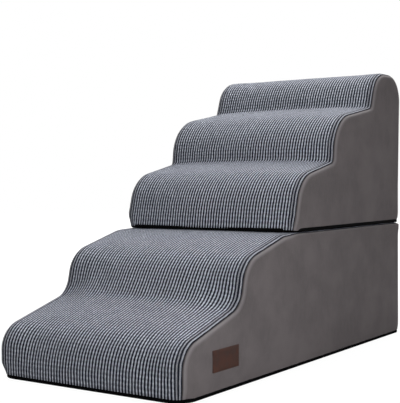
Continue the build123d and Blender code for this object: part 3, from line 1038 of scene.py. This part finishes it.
def zip_coil(line):
    """Nylon coils: one rounded loop after another on each side of the slot."""
    verts, faces = [], []
    height = line.foot + ZIP
    low_y, high_y = BACK - 3.1, BACK - 0.9
    section = [(-0.42, 0.0), (-0.3, 0.75), (0.0, 1.0), (0.3, 0.75), (0.42, 0.0), (0.3, -0.2), (-0.3, -0.2)]
    count = len(section)
    rings = ((0.5, 0.55), (0.8, 0.95), (1.9, 1.0), (2.8, 0.8), (3.1, 0.3))
    for sign, offset in ((1, 0.0), (-1, COIL_PITCH / 2)):
        for x in np.arange(-CHAIN + offset, CHAIN - 0.1, COIL_PITCH):
            base = len(verts)
            for reach, size in rings:
                for dx, dy in section:
                    y = low_y + (high_y - low_y) * max(dy, 0) * size
                    verts.append((x + dx * (0.6 + 0.4 * size), y, height + sign * reach))
            faces += between_rings(base, len(rings), count)
            for cap in (base, base + (len(rings) - 1) * count):
                faces.append(list(range(cap, cap + count)))
    obj = mesh_object(f"{line.label}_zip_teeth", verts, faces, NYLON)
    face_out(obj)
    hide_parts(f"{line.label}_zip_coils")
    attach(obj, line.body)


def zip_stitches(line):
    """The seam that holds the zip's tapes, right round the slit."""
    height = line.foot + ZIP
    face = BACK - 0.35
    up, end = SLIT + 5, SLIT_END + 4.8
    runs = [((-end + 1.8, face, height + d), (end - 1.8, face, height + d), (0, 1, 0)) for d in (up, -up)]
    runs += [((x, face, height - up), (x, face, height + up), (0, 1, 0)) for x in (-end, end)]
    stitches(f"{line.label}_zip_stitches", runs, line.body, THREAD)


def under_strips(points, relief):
    """How much further the knit is pressed down below the loop strips."""
    depth = np.zeros(relief.shape)
    top = smooth(LOWER_TOP - 4, LOWER_TOP - 1, points[..., 2])
    wide = STRIP_WIDTH / 2
    for x, near, far in STRIPS:
        inside = smooth(wide + 1.5, wide - 0.5, np.abs(points[..., 0] - x))
        inside = inside * smooth(near - 3, near + 1, points[..., 1])
        inside = inside * smooth(far + 3, far - 1, points[..., 1])
        depth = np.maximum(depth, inside * top)
    return depth * (relief + 2.4)


def strip_pair(name, z, out, body, node, material):
    """The pair of fastening strips, each sewn on along its edges."""
    made, runs = [], []
    axes = ((1, 0, 0), (0, 1, 0), (0, 0, out))
    margin = 2
    seam = STRIP_WIDTH / 2 - margin
    for label, (x, near, far) in zip(("left", "right"), STRIPS):
        plate = rounded_plate(f"{name}_{label}", (x, (near + far) / 2, z), axes,
                              (STRIP_WIDTH, far - near), STRIP_THICK, 2.0, material, 8.0)
        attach(plate, body)
        made.append(plate)
        near, far = near + margin, far - margin
        runs += [((x + side, near, z), (x + side, far, z), (0, 0, out)) for side in (-seam, seam)]
        runs += [((x - seam, y, z), (x + seam, y, z), (0, 0, out)) for y in (near, far)]
    made.append(stitches(f"{name}_stitches", runs, body, TAPE, 0.12))
    for piece in made:
        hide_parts(node)


# Put together

SETTLE = {}
for line in (LOWER_LINE, UPPER_LINE):
    settle = SETTLE[line.label] = settled(line)
    tread_knit(line, settle)
    side_plush(line, "right", settle)
    side_plush(line, "left", settle)
    back_plush(line, settle)
    base_grip(line)
    if line is LOWER_LINE:
        grip_dots(line)
    zip_coil(line)
    zip_stitches(line)
    dress(f"{line.label}_zip_tapes", TAPE)
    for metal in ("stops", "slider", "pull"):
        dress(f"{line.label}_zip_{metal}", METAL)
    foam_block(line, "firm_foam", "foam_core", FIRM_DEPTH, FIRM, False)
    foam_block(line, "soft_foam", "comfort_layer", SOFT_DEPTH, SOFT, True)

strip_pair("loop_tape", LOWER_TOP - 0.15, 1, "lower_block", "loop_strips", LOOPS)
strip_pair("hook_tape", UPPER_FOOT, -1, "upper_block", "hook_strips", HOOKS)

side_at = SETTLE["lower"]([[HALF, *PATCH_AT]])[0][0]
patch = rounded_plate("side_patch", (side_at + 0.9, *PATCH_AT), ((0, 1, 0), (0, 0, 1), (1, 0, 0)),
                      PATCH_SIZE, PATCH_THICK, 1.6, LEATHER, 4.0, bulge=0.25)
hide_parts("side_label")
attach(patch, "lower_block")


# Stage, light and camera

def area_light(name, at, power, size=1.5, toward=(0, 0, 0.2)):
    """A soft square light aimed at a place."""
    light = bpy.data.lights.new(name, "AREA")
    light.shape = "SQUARE"
    light.size = size
    light.energy = power
    obj = placed(name, light)
    obj.location = at
    obj.rotation_euler = (Vector(toward) - Vector(at)).to_track_quat("-Z", "Y").to_euler()


def mixed(tree, share, first, second, output):
    """Two shaders mixed into a tree's output."""
    mixer = tree.nodes.new("ShaderNodeMixShader")
    for socket, value in zip(mixer.inputs, (share, first, second)):
        tree.links.new(value, socket)
    tree.links.new(mixer.outputs[0], tree.nodes[output].inputs[0])


def world_light():
    """Dim light from all round, on a white ground where the camera or a shiny piece sees it."""
    world = bpy.data.worlds.new("studio")
    world.use_nodes = True
    scene.world = world
    tree = world.node_tree
    dim = tree.nodes["Background"]
    dim.inputs[0].default_value = (0.92, 0.93, 0.95, 1)
    dim.inputs[1].default_value = 0.05
    white = tree.nodes.new("ShaderNodeBackground")
    white.inputs[0].default_value = (1, 1, 1, 1)
    rays = tree.nodes.new("ShaderNodeLightPath").outputs
    seen = rays["Is Camera Ray"]
    for kind in ("Is Glossy Ray", "Is Transmission Ray"):
        either = tree.nodes.new("ShaderNodeMath")
        either.operation = "MAXIMUM"
        tree.links.new(seen, either.inputs[0])
        tree.links.new(rays[kind], either.inputs[1])
        seen = either.outputs[0]
    mixed(tree, seen, dim.outputs[0], white.outputs[0], "World Output")


def pale_floor():
    """A grey floor that the camera sees nearly white, a little darker round the stairs."""
    n = Nodes("floor_white")
    n.finish((0.28, 0.28, 0.28, 1), 0.9, Specular_IOR_Level=0.1)
    glow = n.add("ShaderNodeEmission", Color=(1, 1, 1, 1), Strength=1.19)
    rays = n.tree.nodes.new("ShaderNodeLightPath").outputs
    away = n.add("ShaderNodeVectorMath", n.where, settings={"operation": "LENGTH"}, out=1)
    seen = n.times(rays["Is Camera Ray"], n.ramp(away, 0.5, 1.8, 0.82, 1.0))
    mixed(n.tree, seen, n.shader.outputs[0], glow, "Material Output")
    mesh = bpy.data.meshes.new("floor")
    mesh.from_pydata([(-6, -6, 0), (6, -6, 0), (6, 6, 0), (-6, 6, 0)], [], [(0, 1, 2, 3)])
    mesh.materials.append(n.material)
    return placed("floor", mesh)


camera = bpy.data.cameras.new("camera")
camera.lens = FOCAL * SENSOR / LONG_SIDE
camera.sensor_width = SENSOR
camera.clip_end = 50
viewer = placed("camera", camera)
turned = Matrix.Rotation(YAW, 4, "Z") @ Matrix.Rotation(math.pi / 2 - PITCH, 4, "X")
viewer.matrix_world = Matrix.Translation(VIEW_AT) @ turned @ Matrix.Rotation(ROLL, 4, "Z")
bpy.context.scene.camera = viewer

area_light("key", (-0.5, -2.3, 1.3), 10, toward=(0, 0, 0.15))
area_light("fill", (1.5, -0.9, 0.1), 24.5, 0.8, (0.2, -0.1, 0.05))
area_light("top", (-0.3, 0.3, 2.7), 40)
area_light("rear", (-0.3, 1.5, 2.5), 56)
world_light()
floor = pale_floor()

bpy.context.scene.view_settings.view_transform = "Standard"
